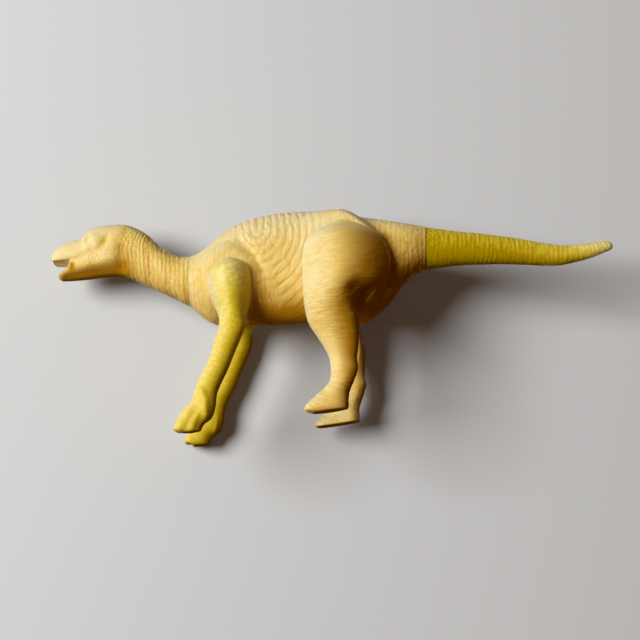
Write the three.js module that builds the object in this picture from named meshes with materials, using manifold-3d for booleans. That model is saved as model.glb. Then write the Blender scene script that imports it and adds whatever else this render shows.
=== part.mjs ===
// A four-footed toy dinosaur in soft plastic, put together from separately moulded pieces.
// Two hollow trunk halves meet on the middle plane and trap the flanged pegs of the head and of the
// tail. Each leg turns on a split peg that snaps through a flat seat on the trunk's side.
// Units are millimetres. The head points to -X, the toy's left side faces -Y, and it stands on z = 0.

import * as THREE from 'three';
import { mergeVertices } from 'three/addons/utils/BufferGeometryUtils.js';
import Module from 'manifold-3d';

const wasm = await Module();
wasm.setup();

// Clearances and walls
const RUNNING_GAP = 0.3;
const PIN_GAP = 0.3;
const WALL = 1.8;
const SEAT_WALL = 2.2;
const BULKHEAD = 2.2;

// Trunk outline: top x, top z, bottom x, bottom z, half width, from the chest to the rump.
// The sections at the neck seam and at the tail seam come from the two joints below.
const TRUNK_RIBS = [
  [-32.7, 46.7, -34.5, 30.6, 7.3],
  [-29.6, 48.5, -31.6, 28.2, 8.0],
  [-25.7, 51.0, -27.4, 27.1, 8.7],
  [-20.9, 52.9, -22.2, 26.5, 9.1],
  [-15.7, 53.6, -16.2, 25.7, 9.4],
  [-9.8, 53.7, -9.9, 25.2, 9.5],
  [-3.4, 53.0, -3.4, 24.9, 9.4],
  [3.1, 51.6, 2.6, 24.2, 9.2],
  [8.5, 49.8, 7.8, 23.6, 8.7],
  [13.4, 48.3, 12.8, 26.8, 7.6],
  [18.0, 46.8, 16.7, 30.7, 7.4],
  [21.3, 45.7, 19.9, 32.7, 6.7],
];
const TRUNK_SQUARENESS = 2.3;

// Neck joint: where the head's peg enters the trunk. The seam leans back by the tilt, in degrees.
const NECK_X = -35.9;
const NECK_Z = 39.8;
const NECK_RADIUS = 6.4;
const NECK_TILT = 7.1;
const NECK_PEG_RADIUS = 3.0;
const NECK_FLANGE_RADIUS = 4.3;

// Tail joint, built the same way.
const TAIL_X = 23.6;
const TAIL_Z = 39.25;
const TAIL_RADIUS = 5.45;
const TAIL_TILT = 9.4;
const TAIL_PEG_RADIUS = 2.2;
const TAIL_FLANGE_RADIUS = 3.3;

const FLANGE_THICKNESS = 1.6;
const PEG_ROOT = 3.0;

// Head and neck outline, from the beak to the seam: top x, top z, bottom x, bottom z, half width.
const HEAD_RIBS = [
  [-70.4, 51.7, -70.2, 45.5, 3.2],
  [-68.5, 53.2, -68.3, 45.0, 4.0],
  [-66.3, 54.4, -66.1, 44.7, 4.4],
  [-63.7, 54.9, -63.3, 44.5, 4.7],
  [-61.9, 55.1, -61.2, 44.4, 4.9],
  [-60.7, 56.3, -60.0, 44.4, 5.1],
  [-59.3, 57.1, -58.4, 44.4, 5.2],
  [-56.8, 57.5, -55.8, 44.3, 5.5],
  [-54.1, 57.4, -53.1, 43.9, 5.7],
  [-51.1, 57.2, -51.1, 42.9, 5.7],
  [-48.7, 56.3, -49.2, 41.7, 5.6],
  [-46.3, 54.7, -47.0, 40.3, 5.6],
  [-44.2, 52.6, -44.9, 38.9, 5.6],
  [-42.2, 49.9, -42.7, 37.5, 5.8],
  [-40.1, 48.0, -40.6, 36.0, 6.0],
  [-37.8, 46.6, -38.6, 34.5, 6.2],
];
const HEAD_SQUARENESS = 2.2;
const BEAK_ROUNDING = 0.9;

// The open mouth is a wedge cut across the beak: points x, z from the upper lip to the lower jaw.
const MOUTH = [
  [-73.0, 49.9],
  [-67.6, 49.5],
  [-65.0, 49.25],
  [-65.45, 48.05],
  [-66.15, 47.2],
  [-67.2, 46.6],
  [-68.4, 46.1],
  [-69.3, 44.0],
  [-73.0, 44.0],
];

// Eyes, on the skin of the head: how far from the beak along the middle line, how many degrees above
// the widest line of the section, and how deep the middle of the eye lies under the skin
const EYE_ALONG = 11.9;
const EYE_ANGLE = 27;
const EYE_SINK = 0.75;
const EYE_RADIUS = 1.5;

// Tail outline, from behind the seam to the upturned tip.
const TAIL_RIBS = [
  [28.2, 43.6, 26.8, 33.8, 5.0],
  [33.1, 42.2, 31.8, 33.6, 4.5],
  [37.9, 41.0, 36.8, 33.0, 4.1],
  [42.8, 39.6, 41.9, 32.3, 3.7],
  [47.6, 38.1, 46.9, 31.4, 3.4],
  [52.5, 36.4, 51.8, 30.4, 3.1],
  [56.9, 35.1, 56.2, 29.7, 2.7],
  [60.7, 34.5, 60.6, 29.9, 2.3],
  [64.5, 34.4, 64.8, 30.4, 2.0],
  [67.6, 34.4, 68.3, 31.3, 1.6],
  [69.9, 34.2, 70.6, 31.9, 1.3],
];
const TAIL_SQUARENESS = 2.1;
const TAIL_ROUNDING = 1.2;

// Legs. The inner face of each leg runs on the seat of the trunk, whose half width is SEAT_Y. Round
// the seats the flank swells up to a little under them, so that limb and flank flow together.
const SEAT_Y = 9.6;
const SEAT_PROUD = 0.25;
const RIDGE_HALF = 2.5;

// The upper part of a leg is a dome on its inner face, and its lower part stands free about LEG_Y.
// A dome's power makes its edge flatter: gentle at the front and steep at the rear.
const LEG_Y = 12.5;
const FACE_STOCK = 0.6;
const FRONT_DOME = 2.5;
const REAR_DOME = 1.15;

// Foreleg outline around the shoulder joint, from the shoulder to the hoof: front x, front z,
// rear x, rear z, half thickness. The points are measured from the joint.
const SHOULDER_X = -25.3;
const SHOULDER_Z = 37.4;
const SHOULDER_SEAT_RADIUS = 5.0;
const SHOULDER_PEG_RADIUS = 2.1;
const SHOULDER_SWELL = { full: 5.2, front: 10.0, rear: 7.5 };
const FORELEG_FREE = [12, 18];
const FORELEG_RIBS = [
  [-3.8, 4.6, 3.2, 4.8, 2.5],
  [-5.3, 2.0, 4.6, 2.7, 2.9],
  [-5.8, -0.7, 5.0, -0.5, 3.0],
  [-5.7, -3.7, 4.5, -4.2, 3.0],
  [-5.0, -6.9, 3.7, -7.7, 2.9],
  [-4.2, -10.3, 2.7, -11.1, 2.8],
  [-4.5, -13.1, 1.9, -14.1, 2.7],
  [-5.8, -15.9, 0.2, -17.2, 2.6],
  [-7.3, -19.2, -1.7, -20.5, 2.5],
  [-9.2, -22.5, -3.6, -23.9, 2.5],
  [-11.3, -25.5, -5.5, -26.7, 2.5],
  [-12.6, -28.2, -6.9, -29.3, 2.5],
  [-13.3, -29.9, -7.6, -32.0, 2.6],
  [-14.6, -30.9, -8.8, -34.6, 2.7],
  [-15.8, -31.9, -11.0, -36.1, 2.8],
  [-16.9, -33.1, -12.7, -38.4, 2.8],
  [-17.8, -34.5, -15.6, -38.1, 2.7],
  [-18.7, -35.8, -18.1, -36.8, 1.9],
];
const FORELEG_ROUNDING = 4.0;
const HAND_ROUNDING = 0.5;

// Hind leg outline around the hip joint, from the thigh to the toe. The half thickness counts from
// LEG_Y out, so it is below zero where the thigh starts near its inner face.
const HIP_X = 3.4;
const HIP_Z = 37.0;
const HIP_SEAT_RADIUS = 8.6;
const HIP_PEG_RADIUS = 2.6;
const HIP_SWELL = { full: 10.2, front: 17.0, rear: 14.0 };
const HIND_LEG_FREE = [12, 22];
const HIND_LEG_RIBS = [
  [-3.2, 10.5, 3.6, 10.1, -1.2],
  [-7.5, 8.4, 7.3, 7.4, 1.9],
  [-10.2, 4.2, 9.7, 3.4, 4.5],
  [-11.1, -1.2, 10.6, -1.9, 6.0],
  [-11.6, -5.4, 8.6, -6.2, 6.4],
  [-11.9, -9.0, 4.4, -9.8, 6.1],
  [-11.9, -12.1, 1.3, -12.7, 5.3],
  [-11.5, -15.1, 0.7, -15.9, 4.4],
  [-10.3, -17.9, 0.4, -19.2, 3.7],
  [-8.9, -20.9, -0.4, -22.6, 3.1],
  [-7.9, -23.9, -1.1, -25.3, 2.6],
  [-7.9, -26.7, -1.2, -27.7, 2.6],
  [-8.6, -29.6, -2.4, -30.2, 2.7],
  [-10.1, -31.1, -4.2, -33.4, 2.8],
  [-11.9, -32.3, -5.4, -37.8, 3.0],
  [-13.8, -33.5, -9.2, -38.0, 3.1],
  [-15.0, -34.5, -12.9, -37.3, 2.7],
  [-15.8, -35.4, -15.2, -36.4, 2.0],
];
const THIGH_ROUNDING = 4.5;
const FOOT_ROUNDING = 0.5;
const LEG_SQUARENESS = 2.1;

// The hollow behind the knee, measured from the hip: where, how wide and high, and how deep
const KNEE_HOLLOW = { x: 0.8, z: -9.2, wide: 3.4, high: 2.6, deep: 1.8 };

// The right legs stand a little off the left ones. Degrees, positive swings the foot forward.
const RIGHT_FORELEG_SWING = 0.5;
const RIGHT_HIND_LEG_SWING = -4.0;

// Snap heads of the leg pegs
const SNAP_LIP = 0.8;
const SNAP_LENGTH = 2.0;
const SNAP_SLOT = 0.9;

// Pins that line the two trunk halves up: x, z
const TRUNK_PINS = [
  [-27.5, 45.0],
  [-11.5, 31.0],
  [-8.5, 48.6],
  [14.0, 40.2],
];
const PIN_RADIUS = 1.0;
const PIN_LENGTH = 2.6;
const PIN_BOSS_RADIUS = 2.2;

// Fineness of the lofted skins
const TRUNK_GRID = [32, 28];
const CAVITY_GRID = [20, 20];
const HEAD_GRID = [28, 20];
const TAIL_GRID = [20, 14];
const LEG_GRID = [28, 18];
const CAP_RINGS = 3;
const ROUND_SIDES = 16;
const EYE_SIDES = 10;

// Longer than the toy in every direction, for the blocks that cut it
const REACH = 200;

const CREAM = 0xf0d48c;
const LEMON = 0xe3c62b;

const radians = THREE.MathUtils.degToRad;
const { lerp, smoothstep } = THREE.MathUtils;

// A joint frame in the XZ plane: its centre, its up direction along the seam, and its axis, which
// points out of the trunk.
function seamFrame(x, z, tilt, outward) {
  const up = new THREE.Vector3(Math.sin(radians(tilt)), 0, Math.cos(radians(tilt)));
  const axis = new THREE.Vector3(outward * up.z, 0, -outward * up.x);
  return { centre: new THREE.Vector3(x, 0, z), up, axis };
}

const neck = seamFrame(NECK_X, NECK_Z, NECK_TILT, -1);
const tail = seamFrame(TAIL_X, TAIL_Z, TAIL_TILT, 1);

// The round section of a seam, moved along its joint's axis by an offset, as an outline row.
function seamRib(frame, radius, offset) {
  const middle = frame.centre.clone().addScaledVector(frame.axis, offset);
  const top = middle.clone().addScaledVector(frame.up, radius);
  const bottom = middle.clone().addScaledVector(frame.up, -radius);
  return [top.x, top.z, bottom.x, bottom.z, radius];
}

// Distance along the middle line at each rib.
function ribKnots(ribs) {
  const knots = [0];
  for (let i = 1; i < ribs.length; i += 1) {
    const [ax, az, bx, bz] = ribs[i];
    const [px, pz, qx, qz] = ribs[i - 1];
    const step = Math.hypot(ax + bx - px - qx, az + bz - pz - qz) / 2;
    knots.push(knots[i - 1] + step);
  }
  return knots;
}

// Cubic through the ribs: each slope is the slope between the two neighbours.
function ribAt(ribs, knots, s) {
  const last = knots.length - 1;
  let i = 0;
  while (i < last - 1 && s > knots[i + 1]) {
    i += 1;
  }
  const span = knots[i + 1] - knots[i];
  const t = (s - knots[i]) / span;
  const slope = (j, column) => {
    const before = Math.max(j - 1, 0);
    const after = Math.min(j + 1, last);
    return (ribs[after][column] - ribs[before][column]) / (knots[after] - knots[before]);
  };
  return ribs[i].map((value, column) => {
    const next = ribs[i + 1][column];
    const rise = slope(i, column) * span;
    const fall = slope(i + 1, column) * span;
    const bend = 2 * (value - next) + rise + fall;
    const swell = 3 * (next - value) - 2 * rise - fall;
    return value + t * (rise + t * (swell + t * bend));
  });
}

// Stations along the loft, closer together where an end is rounded off.
function stations(length, count, startRounding, endRounding) {
  const list = [];
  const quarter = Math.PI / 2;
  for (let i = 0; i < CAP_RINGS && startRounding > 0; i += 1) {
    list.push(startRounding * (1 - Math.cos(quarter * (i / CAP_RINGS))));
  }
  const from = startRounding;
  const to = length - endRounding;
  for (let i = 0; i <= count; i += 1) {
    list.push(from + (to - from) * (i / count));
  }
  for (let i = 1; i <= CAP_RINGS && endRounding > 0; i += 1) {
    list.push(to + endRounding * Math.sin(quarter * (i / CAP_RINGS)));
  }
  return list;
}

// How much of its full size a section has at a distance from a rounded end.
function roundedSize(distance, rounding) {
  if (rounding <= 0 || distance >= rounding) {
    return 1;
  }
  const away = 1 - Math.max(distance, 0) / rounding;
  return Math.sqrt(Math.max(0, 1 - away * away));
}

// Turns every face round if the closed mesh has its faces pointing in.
function facingOut(geometry) {
  const position = geometry.getAttribute('position');
  const index = geometry.getIndex().array;
  const a = new THREE.Vector3();
  const b = new THREE.Vector3();
  const c = new THREE.Vector3();
  let volume = 0;
  for (let i = 0; i < index.length; i += 3) {
    a.fromBufferAttribute(position, index[i]);
    b.fromBufferAttribute(position, index[i + 1]);
    c.fromBufferAttribute(position, index[i + 2]);
    volume += a.dot(b.cross(c));
  }
  if (volume < 0) {
    for (let i = 0; i < index.length; i += 3) {
      [index[i], index[i + 1]] = [index[i + 1], index[i]];
    }
  }
  return geometry;
}

// A point on the skin of one section, at an angle round it from its widest line. The section is a
// superellipse: its height runs from the rib's bottom point to its top point, its width from the
// plane y = middle out and in. Its outer side can be raised to a power, one for the half towards the
// rib's top point and one for the other half.
function skinPoint(rib, angle, squareness, options = {}) {
  const [ax, az, bx, bz, width] = rib;
  const { middle = 0, outer = width, inner = width, domes = [1, 1], shrink = 0, size = 1 } = options;
  const up = Math.sign(Math.sin(angle)) * Math.abs(Math.sin(angle)) ** (2 / squareness);
  const out = Math.sign(Math.cos(angle)) * Math.abs(Math.cos(angle)) ** (2 / squareness);
  const height = Math.hypot(ax - bx, az - bz) / 2;
  const rise = (up * size * (height - shrink)) / height;
  const x = (ax + bx + rise * (ax - bx)) / 2;
  const z = (az + bz + rise * (az - bz)) / 2;
  const dome = angle < Math.PI ? domes[0] : domes[1];
  const y = out > 0 ? (out * size) ** dome * (outer - shrink) : out * size * (inner - shrink);
  return new THREE.Vector3(x, middle + y, z);
}

// A closed skin over the ribs, one ring of skin points at each station. spread gives a section's own
// options at a distance and half thickness, and reshape moves each point once more.
function loft(ribs, grid, squareness, options = {}) {
  const { shrink = 0, startRounding = 0, endRounding = 0 } = options;
  const { spread = () => ({}), reshape = (point) => point } = options;
  const [along, around] = grid;
  const knots = ribKnots(ribs);
  const length = knots[knots.length - 1];
  const points = [];
  const faces = [];
  const rings = stations(length, along, startRounding, endRounding);
  for (const s of rings) {
    const rib = ribAt(ribs, knots, s);
    const size = roundedSize(s, startRounding) * roundedSize(length - s, endRounding);
    const section = { shrink, size, ...spread(s, rib[4]) };
    for (let i = 0; i < around; i += 1) {
      const angle = (2 * Math.PI * i) / around;
      points.push(...reshape(skinPoint(rib, angle, squareness, section)));
    }
  }
  for (let ring = 0; ring + 1 < rings.length; ring += 1) {
    for (let i = 0; i < around; i += 1) {
      const a = ring * around + i;
      const b = ring * around + ((i + 1) % around);
      faces.push(a, b, b + around, a, b + around, a + around);
    }
  }
  const lastRing = (rings.length - 1) * around;
  for (let i = 1; i + 1 < around; i += 1) {
    faces.push(0, i + 1, i);
    faces.push(lastRing, lastRing + i, lastRing + i + 1);
  }
  const geometry = new THREE.BufferGeometry();
  geometry.setAttribute('position', new THREE.Float32BufferAttribute(points, 3));
  geometry.setIndex(faces);
  return geometry;
}

// A closed three.js geometry as a solid that can be joined and cut.
function solid(geometry) {
  geometry.deleteAttribute('normal');
  geometry.deleteAttribute('uv');
  const merged = facingOut(withoutSlivers(mergeVertices(geometry)));
  return new wasm.Manifold(new wasm.Mesh({
    numProp: 3,
    vertProperties: new Float32Array(merged.getAttribute('position').array),
    triVerts: new Uint32Array(merged.getIndex().array),
  }));
}

// Drops the faces that fell together where a ring closes to a point.
function withoutSlivers(geometry) {
  const index = geometry.getIndex().array;
  const kept = [];
  for (let i = 0; i < index.length; i += 3) {
    const [a, b, c] = [index[i], index[i + 1], index[i + 2]];
    if (a !== b && b !== c && c !== a) {
      kept.push(a, b, c);
    }
  }
  geometry.setIndex(kept);
  return geometry;
}

// A solid turned about a lathe axis: profile of radius and distance along the axis from its start.
function turned(profile, start, axis, sides = ROUND_SIDES) {
  const points = profile.map(([radius, distance]) => new THREE.Vector2(radius, distance));
  const geometry = new THREE.LatheGeometry(points, sides);
  const turn = new THREE.Quaternion().setFromUnitVectors(new THREE.Vector3(0, 1, 0), axis);
  geometry.applyQuaternion(turn);
  geometry.translate(start.x, start.y, start.z);
  return solid(geometry);
}

function rod(radius, length, start, axis, sides = ROUND_SIDES) {
  return turned([[0, 0], [radius, 0], [radius, length], [0, length]], start, axis, sides);
}

// A large block whose face lies on a point, across an axis, and that fills the space the axis enters.
function beyond(point, axis) {
  const geometry = new THREE.BoxGeometry(REACH, REACH, REACH);
  const turn = new THREE.Quaternion().setFromUnitVectors(new THREE.Vector3(0, 0, 1), axis);
  geometry.applyQuaternion(turn);
  const centre = point.clone().addScaledVector(axis, REACH / 2);
  geometry.translate(centre.x, centre.y, centre.z);
  return solid(geometry);
}

function joined(parts) {
  return parts.reduce((whole, part) => whole.add(part));
}

function cutBy(body, tools) {
  return body.subtract(joined(tools));
}

function piece(name, body, colour) {
  const mesh = body.getMesh();
  const geometry = new THREE.BufferGeometry();
  geometry.setAttribute('position', new THREE.Float32BufferAttribute(mesh.vertProperties, 3));
  geometry.setIndex(new THREE.Uint32BufferAttribute(mesh.triVerts, 1));
  geometry.computeVertexNormals();
  const material = new THREE.MeshStandardMaterial({ color: colour, roughness: 0.5, metalness: 0 });
  const node = new THREE.Mesh(geometry, material);
  node.name = name;
  return node;
}

// Both pegs on the trunk's middle plane: a stem that starts inside its own piece, passes the
// bulkhead with a running gap and ends in a flange behind it.
function flangedPeg(frame, pegRadius, flangeRadius) {
  const inward = frame.axis.clone().negate();
  const start = frame.centre.clone().addScaledVector(frame.axis, PEG_ROOT);
  const flangeAt = PEG_ROOT + BULKHEAD + RUNNING_GAP;
  return turned(
    [
      [0, 0],
      [pegRadius, 0],
      [pegRadius, flangeAt],
      [flangeRadius, flangeAt],
      [flangeRadius, flangeAt + FLANGE_THICKNESS],
      [0, flangeAt + FLANGE_THICKNESS],
    ],
    start,
    inward,
  );
}

// Each limb of the trunk's sides, seen from outside: joint place, seat, peg, the swelling round the
// seat, and the distances down the leg between which it comes free of its dome.
const SHOULDER = {
  x: SHOULDER_X,
  z: SHOULDER_Z,
  seatRadius: SHOULDER_SEAT_RADIUS,
  pegRadius: SHOULDER_PEG_RADIUS,
  swell: SHOULDER_SWELL,
  free: FORELEG_FREE,
};
const HIP = {
  x: HIP_X,
  z: HIP_Z,
  seatRadius: HIP_SEAT_RADIUS,
  pegRadius: HIP_PEG_RADIUS,
  swell: HIP_SWELL,
  free: HIND_LEG_FREE,
};

// Moves a point of the trunk's side out towards a half width, fully at a seat and less with the
// distance from it. The ridge of the back and the belly stay where they are.
function swollen(point, halfWidth) {
  const width = Math.abs(point.y);
  const shares = [SHOULDER, HIP].map((limb) => {
    const away = Math.hypot(point.x - limb.x, point.z - limb.z);
    const behind = smoothstep(point.x - limb.x, 0, limb.swell.full);
    return 1 - smoothstep(away, limb.swell.full, lerp(limb.swell.front, limb.swell.rear, behind));
  });
  const rise = Math.max(halfWidth - width, 0) * Math.max(...shares) * smoothstep(width, 0, RIDGE_HALF);
  return point.setY(point.y + Math.sign(point.y) * rise);
}

const trunkRibs = [
  seamRib(neck, NECK_RADIUS, 0),
  ...TRUNK_RIBS,
  seamRib(tail, TAIL_RADIUS, 0),
];

// One half of the trunk. side is -1 for the left half, +1 for the right one.
function trunkHalf(side) {
  const outward = new THREE.Vector3(0, side, 0);
  const seats = [SHOULDER, HIP].map((limb) => {
    const start = new THREE.Vector3(limb.x, side * (SEAT_Y - SEAT_WALL), limb.z);
    return rod(limb.seatRadius, SEAT_WALL, start, outward);
  });
  const bosses = TRUNK_PINS.map(([x, z]) => {
    return rod(PIN_BOSS_RADIUS, SEAT_Y, new THREE.Vector3(x, 0, z), outward);
  });
  const level = SEAT_Y - SEAT_PROUD;
  const cavity = loft(trunkRibs, CAVITY_GRID, TRUNK_SQUARENESS, {
    shrink: WALL,
    reshape: (point) => swollen(point, level - WALL),
  });
  const hollow = cutBy(solid(cavity), [
    beyond(neck.centre.clone().addScaledVector(neck.axis, -BULKHEAD), neck.axis),
    beyond(tail.centre.clone().addScaledVector(tail.axis, -BULKHEAD), tail.axis),
    ...seats,
    ...bosses,
  ]);
  const holes = [SHOULDER, HIP].map((limb) => {
    const start = new THREE.Vector3(limb.x, 0, limb.z);
    const pocket = rod(limb.pegRadius + SNAP_LIP + PIN_GAP, SEAT_Y - SEAT_WALL, start, outward);
    return pocket.add(rod(limb.pegRadius + PIN_GAP, SEAT_Y + WALL, start, outward));
  });
  const passages = [
    [neck, NECK_PEG_RADIUS],
    [tail, TAIL_PEG_RADIUS],
  ].map(([frame, radius]) => {
    const start = frame.centre.clone().addScaledVector(frame.axis, -BULKHEAD - WALL);
    return rod(radius + PIN_GAP, BULKHEAD + 2 * WALL, start, frame.axis);
  });
  const middle = new THREE.Vector3(0, 0, 0);
  const skin = solid(loft(trunkRibs, TRUNK_GRID, TRUNK_SQUARENESS, {
    reshape: (point) => swollen(point, level),
  }));
  const half = cutBy(joined([skin, ...seats]), [
    hollow,
    ...holes,
    ...passages,
    beyond(middle, outward.clone().negate()),
  ]);
  if (side < 0) {
    const pins = TRUNK_PINS.map(([x, z]) => {
      return rod(PIN_RADIUS, 2 * PIN_LENGTH, new THREE.Vector3(x, -PIN_LENGTH, z), outward.clone().negate());
    });
    return joined([half, ...pins]);
  }
  const sockets = TRUNK_PINS.map(([x, z]) => {
    const depth = PIN_LENGTH + PIN_GAP;
    return rod(PIN_RADIUS + PIN_GAP, 2 * depth, new THREE.Vector3(x, -depth, z), outward);
  });
  return cutBy(half, sockets);
}

function headAndNeck() {
  const ribs = [...HEAD_RIBS, seamRib(neck, NECK_RADIUS, RUNNING_GAP)];
  const skin = solid(loft(ribs, HEAD_GRID, HEAD_SQUARENESS, { startRounding: BEAK_ROUNDING }));
  const browRib = ribAt(ribs, ribKnots(ribs), EYE_ALONG);
  const onSkin = skinPoint(browRib, radians(EYE_ANGLE), HEAD_SQUARENESS);
  const inside = skinPoint(browRib, 0, HEAD_SQUARENESS, { size: 0 });
  const eye = onSkin.addScaledVector(inside.sub(onSkin).normalize(), EYE_SINK);
  const eyes = [-1, 1].map((side) => {
    const geometry = new THREE.SphereGeometry(EYE_RADIUS, EYE_SIDES, EYE_SIDES / 2);
    geometry.translate(eye.x, side * eye.y, eye.z);
    return solid(geometry);
  });
  const shape = new THREE.Shape(MOUTH.map(([x, z]) => new THREE.Vector2(x, z)));
  const wedge = new THREE.ExtrudeGeometry(shape, { depth: REACH, bevelEnabled: false });
  wedge.translate(0, 0, -REACH / 2);
  wedge.rotateX(Math.PI / 2);
  return joined([skin, ...eyes, flangedPeg(neck, NECK_PEG_RADIUS, NECK_FLANGE_RADIUS)])
    .subtract(solid(wedge));
}

function tailPiece() {
  const ribs = [seamRib(tail, TAIL_RADIUS, RUNNING_GAP), ...TAIL_RIBS];
  const skin = solid(loft(ribs, TAIL_GRID, TAIL_SQUARENESS, { endRounding: TAIL_ROUNDING }));
  return skin.add(flangedPeg(tail, TAIL_PEG_RADIUS, TAIL_FLANGE_RADIUS));
}

// A leg on the given side, swung by an angle about its joint. Its inner face is cut flat to run on
// the seat, its split peg snaps behind the seat's wall, and its sole is cut level with the floor.
function leg(limb, ribs, side, swing, options) {
  const face = SEAT_Y + RUNNING_GAP;
  const spread = (s, thickness) => {
    const loose = smoothstep(s, ...limb.free);
    const middle = lerp(face, LEG_Y, loose);
    const inner = lerp(FACE_STOCK, thickness, loose);
    const domes = [lerp(FRONT_DOME, 1, loose), lerp(REAR_DOME, 1, loose)];
    return { middle, outer: LEG_Y + thickness - middle, inner, domes };
  };
  const skin = solid(loft(ribs, LEG_GRID, LEG_SQUARENESS, { spread, ...options }));
  const stemEnd = SEAT_WALL + 2 * RUNNING_GAP;
  const root = LEG_Y - face;
  const inward = new THREE.Vector3(0, -1, 0);
  const peg = turned(
    [
      [0, 0],
      [limb.pegRadius, 0],
      [limb.pegRadius, root + stemEnd],
      [limb.pegRadius + SNAP_LIP, root + stemEnd],
      [limb.pegRadius + SNAP_LIP, root + stemEnd + SNAP_LIP],
      [limb.pegRadius - SNAP_LIP, root + stemEnd + SNAP_LENGTH],
      [0, root + stemEnd + SNAP_LENGTH],
    ],
    new THREE.Vector3(0, LEG_Y, 0),
    inward,
  );
  const slotDepth = stemEnd + SNAP_LENGTH - RUNNING_GAP;
  const slot = new THREE.BoxGeometry(SNAP_SLOT, slotDepth, REACH);
  slot.translate(0, face - stemEnd - SNAP_LENGTH + slotDepth / 2 - RUNNING_GAP, 0);
  const flat = skin.subtract(beyond(new THREE.Vector3(0, face, 0), inward));
  const geometry = new THREE.BufferGeometry();
  const mesh = flat.add(peg.subtract(solid(slot))).getMesh();
  geometry.setAttribute('position', new THREE.Float32BufferAttribute(mesh.vertProperties, 3));
  geometry.setIndex(new THREE.Uint32BufferAttribute(mesh.triVerts, 1));
  geometry.scale(1, side, 1);
  geometry.rotateY(radians(swing));
  geometry.translate(limb.x, 0, limb.z);
  const floor = beyond(new THREE.Vector3(0, 0, 0), new THREE.Vector3(0, 0, -1));
  return solid(geometry).subtract(floor);
}

function foreleg(side, swing) {
  return leg(SHOULDER, FORELEG_RIBS, side, swing, {
    startRounding: FORELEG_ROUNDING,
    endRounding: HAND_ROUNDING,
  });
}

// Presses the hollow behind the knee into the outer side of the thigh.
function kneeHollow(point) {
  const { x, z, wide, high, deep } = KNEE_HOLLOW;
  const away = ((point.x - x) / wide) ** 2 + ((point.z - z) / high) ** 2;
  const depth = deep * Math.exp(-away) * smoothstep(point.y, SEAT_Y + RUNNING_GAP, LEG_Y);
  return point.setY(point.y - depth);
}

function hindLeg(side, swing) {
  return leg(HIP, HIND_LEG_RIBS, side, swing, {
    startRounding: THIGH_ROUNDING,
    endRounding: FOOT_ROUNDING,
    reshape: kneeHollow,
  });
}

const toy = new THREE.Group();
toy.add(
  piece('torso_left', trunkHalf(-1), CREAM),
  piece('torso_right', trunkHalf(1), CREAM),
  piece('head_and_neck', headAndNeck(), CREAM),
  piece('tail', tailPiece(), LEMON),
  piece('left_foreleg', foreleg(-1, 0), LEMON),
  piece('right_foreleg', foreleg(1, RIGHT_FORELEG_SWING), LEMON),
  piece('left_hind_leg', hindLeg(-1, 0), CREAM),
  piece('right_hind_leg', hindLeg(1, RIGHT_HIND_LEG_SWING), CREAM),
);

export default toy;
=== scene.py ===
# %% [markdown]
# # A toy dinosaur in soft plastic
# The toy is two trunk halves with a turning head, a turning tail and four swinging legs.
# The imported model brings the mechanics: where each piece is and how it moves. This file gives
# every piece its skin: the wrinkles, the face, the toes and the plastic.
# All shapes are written in millimetres, with x along the toy, y across it and z up, and are
# turned into metres when they become meshes.

import math

import bpy
import numpy as np
from mathutils import Matrix


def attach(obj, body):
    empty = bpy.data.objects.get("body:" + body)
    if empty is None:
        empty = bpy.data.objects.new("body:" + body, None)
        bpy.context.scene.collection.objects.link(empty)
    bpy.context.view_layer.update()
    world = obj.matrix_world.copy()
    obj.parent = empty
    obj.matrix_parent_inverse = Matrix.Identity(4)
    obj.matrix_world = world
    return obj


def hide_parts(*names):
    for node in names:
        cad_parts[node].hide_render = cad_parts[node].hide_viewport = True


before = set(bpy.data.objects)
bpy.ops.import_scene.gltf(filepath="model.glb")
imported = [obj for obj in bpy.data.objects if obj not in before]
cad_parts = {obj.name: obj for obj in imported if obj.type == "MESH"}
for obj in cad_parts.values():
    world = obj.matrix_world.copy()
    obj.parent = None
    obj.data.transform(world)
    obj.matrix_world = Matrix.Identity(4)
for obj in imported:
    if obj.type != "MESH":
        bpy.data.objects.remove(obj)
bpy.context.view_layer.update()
print("CAD nodes:", ", ".join(sorted(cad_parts)))

# %% [markdown]
# ## Camera
# The toy is looked at from its left side, slightly from below, with the picture rolled a little.
# A camera can be aimed with a tracking constraint, but three directions worked out one by one are
# exact and also serve to place the lamps: right and up in the picture, and the way it looks.

# %% Camera
BELOW = math.radians(12.0)
ROLL = math.radians(8.6)
TARGET = np.array([-5.2, 0.0, 25.1]) / 1000
DISTANCE = 0.3778

look = np.array([0.0, math.cos(BELOW), math.sin(BELOW)])
level_up = np.array([0.0, -math.sin(BELOW), math.cos(BELOW)])
level_right = np.array([1.0, 0.0, 0.0])
picture_right = math.cos(ROLL) * level_right - math.sin(ROLL) * level_up
picture_up = math.sin(ROLL) * level_right + math.cos(ROLL) * level_up


def placed(origin, right, up, back):
    """The matrix of something at origin whose own X, Y and Z point right, up and back."""
    columns = np.array([right, up, back, origin]).T
    return Matrix([list(row) for row in columns] + [[0, 0, 0, 1]])


camera_data = bpy.data.cameras.new("camera")
camera_data.lens = 85
camera_data.sensor_width = 36
camera = bpy.data.objects.new("camera", camera_data)
camera.matrix_world = placed(TARGET - look * DISTANCE, picture_right, picture_up, -look)
bpy.context.scene.collection.objects.link(camera)
bpy.context.scene.camera = camera
print("camera at", [round(v, 4) for v in camera.matrix_world.translation])

# %% [markdown]
# ## Light
# One large soft lamp stands to the left of the camera and a little above it, near enough for the
# table to darken towards the right. A second one lights the side that the camera doesn't see. Its
# light isn't passed on from one surface to the next, so it leaves the side in the picture alone.
# A lamp can be made softer with a bigger size and doesn't get brighter by that: its power is
# spread over its area. The world adds a little warm light from everywhere, as a room does. The
# Light Path node puts a pale backdrop in its place for what the camera sees, straight, mirrored
# or through a clear plane.

# %% Lamps and world


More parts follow.
